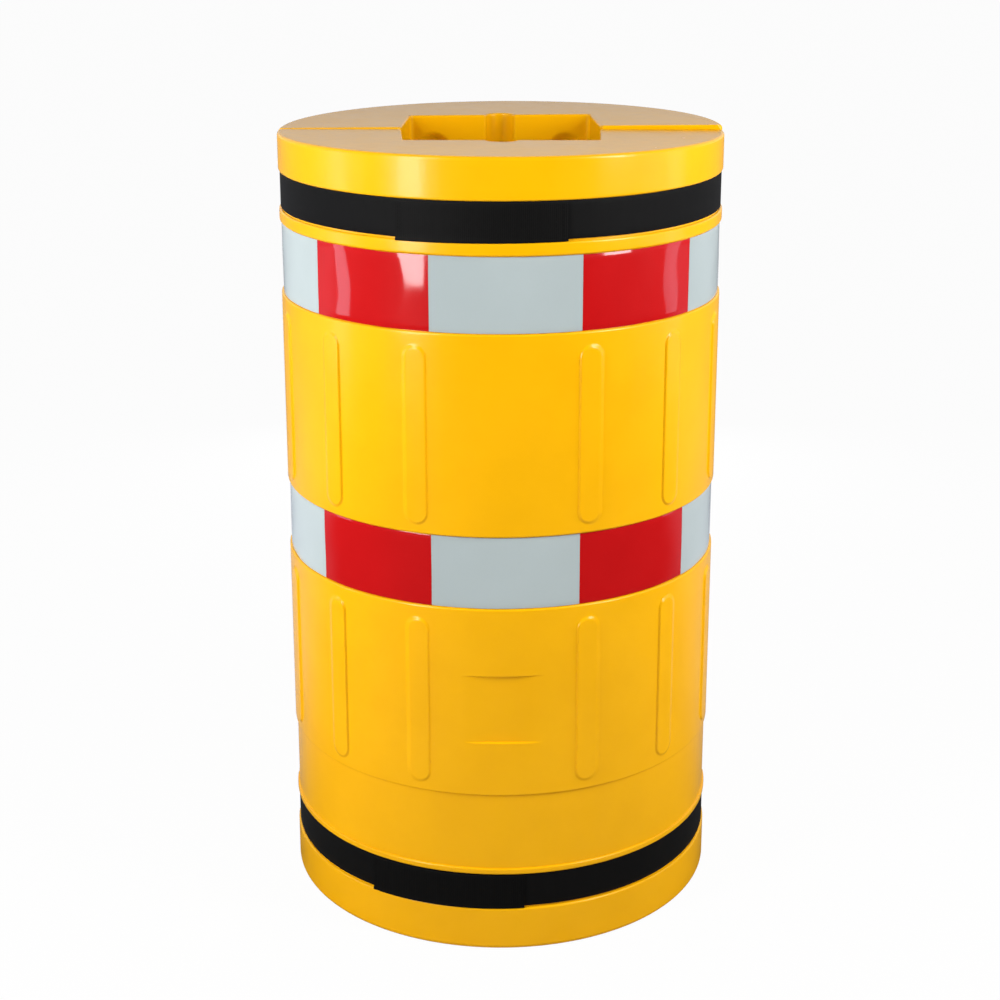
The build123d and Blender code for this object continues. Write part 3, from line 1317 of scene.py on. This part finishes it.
@dataclass
class Strap:
    """One hook-and-loop strap: two runs from the middle of the back, and the sewn-on tail."""

    row: Row
    webbing: Finish
    hook_tape: Finish
    thread: Finish
    edge_round: float = 0.45 * MM
    column_step: float = 3.5 * MM
    row_step: float = 7.0 * MM
    bend_reach: float = 16.0 * MM
    tail_bend: float = 9.0 * MM
    tail_bend_lead: float = 1.0 * MM
    sag: float = 0.35 * MM
    sag_pace: float = 5.0
    sag_swell: float = 2.3
    sag_phase: float = 1.1
    tail_slant: float = 1.7 * MM
    lip_climb: float = 1.3 * MM
    lip_climb_width: float = 6.0 * MM
    sewn_clearance: float = 0.5 * MM
    stitch_length: float = 3.2 * MM
    stitch_width: float = 0.7 * MM
    stitch_gap: float = 1.1 * MM
    stitch_margin: float = 3.0 * MM
    stitch_sides: int = 8
    stitch_rings: int = 6
    hem_rows: tuple[float, ...] = (3.5 * MM, 7.5 * MM)
    sewn_rows: tuple[float, ...] = (3.0 * MM, 7.0 * MM, 16.0 * MM)

    def node(self, name: str) -> str:
        """The full name of one of the strap's nodes or pieces."""
        return f"{self.row.word}_strap_{name}"

    def body(self, name: str) -> str:
        """The full name of one of the strap's bodies."""
        return f"{self.row.word}_{name}"

    def drape(self, angle: float, level: float) -> Span:
        """Slight unevenness of a run of webbing: the shift outwards and the shift upwards."""
        lift = sin(self.sag_pace * angle + level) * sin(self.sag_swell * angle + self.sag_phase)
        return 0.0, self.sag * lift

    def build_run(self, side: Side) -> Piece:
        """Models the run from the middle of the back round one side to its front end.

        Args:
            side: The run's side.

        Returns:
            The run's piece.
        """
        plain = Arc.of_node(self.node("left"))
        meeting = Arc.of_node(self.node("right")).start
        ends = (-pi, meeting) if side is Side.LEFT else (meeting, pi)
        arc = Arc(plain.inner, plain.outer, plain.low, plain.high, *ends)
        band = Band(arc, self.edge_round, self.column_step, self.row_step)
        bm = band.build()
        band.map_weave(bm, Webbing.uv)
        band.shape(bm, self.drape)
        piece = make_piece(self.node(f"{side.word}_run"), bm, self.webbing)
        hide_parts(self.node(side.word), self.node("back"))
        hinge_x = plain.outer * side.value
        start, end = ((hinge_x, way * self.bend_reach, plain.level) for way in (1, -1))
        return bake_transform(piece)

    def sewn_end(self) -> float:
        """Angle where the sewn end of the tail stops.

        Returns:
            The angle from the front.
        """
        beyond = Arc.of_node(self.node("left")).outer + self.sewn_clearance
        points = [vertex.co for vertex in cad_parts[self.node("right")].data.vertices]
        return max(bearing_of(point) for point in points if radius_of(point) > beyond)

    def lie(self, arc: Arc, angle: float, level: float) -> Span:
        """How the tail lies: a little slanted, its lower edge climbing on to the groove's lip.

        Args:
            arc: The tail's arc.
            angle: Angle from the front.
            level: Height above the floor.

        Returns:
            The shift outwards and the shift upwards, in metres.
        """
        share = (arc.end - angle) / (arc.end - arc.start)
        climb = smooth_step((arc.low + self.lip_climb_width - level) / self.lip_climb_width)
        return share * self.lip_climb * climb, -share * self.tail_slant

    def build_tail(self) -> list[Piece]:
        """Models the hook tail and its stitching.

        Returns:
            The pieces.
        """
        node = Arc.of_node(self.node("tail"))
        arc = Arc(node.inner, node.outer, node.low, node.high, node.start, self.sewn_end())
        band = Band(arc, self.edge_round, self.column_step, self.row_step / 2)
        bm = band.build()
        band.map_weave(bm, Webbing.uv)
        band.shape(bm, partial(self.lie, arc))
        piece = make_piece(self.node("hook_tail"), bm, self.hook_tape)
        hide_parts(self.node("tail"))
        hinge = node.end
        foot = Vector((arc.outer * sin(hinge), -arc.outer * cos(hinge), arc.level))
        arm, tail = self.body("right_arm"), self.body("tail")
        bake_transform(piece)
        hem = [arc.start + offset / arc.outer for offset in self.hem_rows]
        sewn = [arc.end - offset / arc.outer for offset in self.sewn_rows]
        return [
            piece,
            self.build_stitches("hem_stitches", arc, hem, tail),
            self.build_stitches("sewn_stitches", arc, sewn, arm),
        ]

    def build_stitches(self, name: str, arc: Arc, angles: Sequence[float], body: str) -> Piece:
        """Models rows of stitches across the tail.

        Args:
            name: What the rows are called.
            arc: The tail's arc.
            angles: Angles of the rows.
            body: The body that the rows ride on.

        Returns:
            The stitches as one piece.
        """
        bm = bmesh.new()
        pitch = self.stitch_length + self.stitch_gap
        low, high = arc.low + self.stitch_margin, arc.high - self.stitch_margin
        size = Vector((self.stitch_width, self.stitch_width, self.stitch_length))
        for angle in angles:
            for level in evenly(low, high, pitch):
                outwards, upwards = self.lie(arc, angle, level)
                made = bmesh.ops.create_uvsphere(
                    bm, u_segments=self.stitch_sides, v_segments=self.stitch_rings, radius=0.5
                )["verts"]
                bmesh.ops.scale(bm, verts=made, vec=size)
                place = (0, -arc.outer - outwards, level + upwards)
                bmesh.ops.translate(bm, verts=made, vec=place)
                turned(bm, made, angle)
        piece = make_piece(self.node(name), bm, self.thread)
        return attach(piece, body)

    def build(self) -> list[Piece]:
        """Models the whole strap and gives back its pieces."""
        return [*(self.build_run(side) for side in Side), *self.build_tail()]


@dataclass(frozen=True)
class Softbox:
    """A rectangular studio lamp that looks at the object, placed by its bearing from the camera."""

    name: str
    bearing: float
    distance: float
    level: float
    width: float
    height: float
    power: float
    aim_level: float = 0.9
    tint: Triple = (1.0, 1.0, 1.0)
    mirrored: bool = True

    def make(self, camera_bearing: float) -> None:
        """Hangs the lamp.

        Args:
            camera_bearing: The camera's own bearing.
        """
        lamp = bpy.data.lights.new(self.name, "AREA")
        lamp.shape = "RECTANGLE"
        lamp.size, lamp.size_y = self.width, self.height
        lamp.energy = self.power
        lamp.color = self.tint
        bearing = camera_bearing + self.bearing
        stand = add_object(self.name, lamp)
        stand.location = (self.distance * sin(bearing), -self.distance * cos(bearing), self.level)
        aim = Vector((0, 0, self.aim_level)) - stand.location
        stand.rotation_euler = aim.to_track_quat("-Z", "Y").to_euler()
        stand.visible_camera = False
        stand.visible_glossy = self.mirrored


@dataclass
class Studio:
    """White studio: pale floor, soft lamps and the camera of the photograph.

    The sweep is the part of the floor behind the object that its gloss shows brighter.
    """

    camera_bearing: float = radians(-0.57)
    camera_distance: float = 2.6435
    camera_level: float = 1.4379
    camera_pitch: float = radians(16.331)
    camera_roll: float = radians(-0.027)
    camera_yaw: float = radians(0.0225)
    lens: float = 68.588
    lens_shift: float = -0.0707
    sensor: float = 36.0
    floor_radius: float = 40.0
    floor_sides: int = 64
    floor_tone: Triple = (0.6, 0.6, 0.6)
    floor_white: float = 0.97
    floor_gloss: float = 0.04
    sweep_gloss: float = 0.6
    sweep_near: Span = (-0.1, 0.6)
    sweep_far: Span = (0.8, 2.4)
    sweep_far_share: float = 0.45
    sweep_side: Span = (-0.3, 0.5)
    sweep_side_share: float = 0.7
    backdrop_gloss: float = 1.0
    backdrop_edge: Span = (-0.2, 0.6)
    room_gloss: float = 0.03
    ambient: float = 0.02
    softboxes: tuple[Softbox, ...] = (
        Softbox("key_left", radians(-41.8), 1.65, 1.41, 0.4, 1.72, 33.2),
        Softbox("key_right", radians(56), 1.65, 1.585, 0.42, 1.31, 30.0),
        Softbox("strip_left", radians(-83), 1.9, 1.1, 0.3, 1.5, 4.2, tint=COOL_LIGHT),
        Softbox("strip_right", radians(92), 1.9, 1.1, 0.34, 1.5, 2.0, tint=COOL_LIGHT),
        Softbox("fill_left", radians(-80), 1.6, 1.05, 0.7, 1.0, 8.0, mirrored=False),
        Softbox("fill_right", radians(80), 1.6, 1.05, 0.7, 1.0, 10.0, mirrored=False),
        Softbox("fill_back", radians(180), 2.4, 0.55, 0.9, 0.7, 40.0, mirrored=False),
    )

    def make_floor(self) -> None:
        """Lays the floor, white to the camera but for the object's shadow, dimmer in a gloss."""
        bm = bmesh.new()
        bmesh.ops.create_circle(
            bm, cap_ends=True, segments=self.floor_sides, radius=self.floor_radius
        )
        mesh = bpy.data.meshes.new("studio_floor")
        bm.to_mesh(mesh)
        bm.free()
        material, graph = new_material("studio_floor")
        glow = partial(graph.add, "ShaderNodeEmission", None)
        paint = graph.add("ShaderNodeBsdfDiffuse", None, {"Color": (*self.floor_tone, 1.0)})
        white = glow({"Strength": 1.0})
        dim = glow({"Strength": self.floor_gloss})
        bright = glow({"Color": (*COOL_LIGHT, 1.0), "Strength": self.sweep_gloss})
        aside, behind = (graph.part(graph.place(), axis) for axis in (0, 1))
        far = 1 - (1 - self.sweep_far_share) * behind.ramp(*self.sweep_far)
        side = 1 - (1 - self.sweep_side_share) * aside.ramp(*self.sweep_side)
        sweep = graph.either(behind.ramp(*self.sweep_near) * far * side, dim, bright)
        mirrored = graph.either(graph.mirrored(), paint, sweep)
        shader = graph.either(graph.seen() * self.floor_white, mirrored, white)
        graph.add("ShaderNodeOutputMaterial", None, {"Surface": shader})
        mesh.materials.append(material)
        add_object("studio_floor", mesh)

    def make_world(self) -> None:
        """Surrounds the object with even light and a backdrop that the camera and a gloss see."""
        world = bpy.data.worlds.new("studio")
        world.use_nodes = True
        bpy.context.scene.world = world
        graph = Graph(world.node_tree)
        glow = partial(graph.add, "ShaderNodeBackground", None)
        behind = graph.part(graph.add("ShaderNodeTexCoord", output="Generated"), 1)
        fill = glow({"Strength": self.ambient})
        dim = glow({"Strength": self.room_gloss})
        bright = glow({"Strength": self.backdrop_gloss})
        white = glow({"Color": (1.0, 1.0, 1.0, 1.0), "Strength": 1.0})
        room = graph.either(behind.ramp(*self.backdrop_edge), dim, bright)
        mirrored = graph.either(graph.mirrored(), fill, room)
        shader = graph.either(graph.seen(), mirrored, white)
        graph.add("ShaderNodeOutputWorld", None, {"Surface": shader})

    def make_camera(self) -> None:
        """Sets the camera where the photograph was taken from."""
        data = bpy.data.cameras.new("camera")
        data.lens = self.lens
        data.sensor_width = self.sensor
        data.shift_y = self.lens_shift
        camera = add_object("camera", data)
        bearing, distance = self.camera_bearing, self.camera_distance
        stand = (distance * sin(bearing), -distance * cos(bearing), self.camera_level)
        camera.matrix_world = (
            Matrix.Translation(stand)
            @ Matrix.Rotation(bearing + self.camera_yaw, 4, "Z")
            @ Matrix.Rotation(pi / 2 - self.camera_pitch, 4, "X")
            @ Matrix.Rotation(self.camera_roll, 4, "Z")
        )
        bpy.context.scene.camera = camera

    def build(self) -> None:
        """Sets up the whole studio."""
        bpy.context.scene.view_settings.view_transform = "Standard"
        self.make_floor()
        self.make_world()
        self.make_camera()
        for softbox in self.softboxes:
            softbox.make(self.camera_bearing)


def main() -> None:
    """Builds the studio and every sub-assembly in order, and reports each piece."""
    logging.basicConfig(level=logging.INFO, format="%(name)s: %(message)s")
    Studio().build()
    white = ReflectiveFilm(
        "white_reflective_film", light=(0.468, 0.53, 0.536), deep=(0.454, 0.515, 0.519), grain=1.0
    )
    red = ReflectiveFilm(
        "red_reflective_film", light=(0.475, 0.0035, 0.0045), deep=(0.45, 0.003, 0.004), grain=0.0
    )
    webbing = Webbing(
        "black_webbing",
        light=(0.0048, 0.0047, 0.0047),
        deep=(0.0018, 0.0017, 0.0017),
        rib_pitch=1.5 * MM,
        thread_pitch=0.9 * MM,
    )
    hooks = Webbing(
        "black_hook_tape",
        light=(0.0042, 0.004, 0.0039),
        deep=(0.0014, 0.0013, 0.0012),
        rib_pitch=2.6 * MM,
        thread_pitch=1.3 * MM,
    )
    plastic = MouldedPlastic().make()
    films = {False: white.make(), True: red.make()}
    tapes = webbing.make(), hooks.make(), SewingThread().make()
    pieces = HalfShell(plastic).build()
    for row in Row:
        for half in Half:
            pieces += FilmBand(half, row, films).build()
        pieces += Strap(row, *tapes).build()
    for piece in pieces:
        LOG.info("%s: %d faces", piece.name, len(piece.data.polygons))


if __name__ == "__main__":
    main()
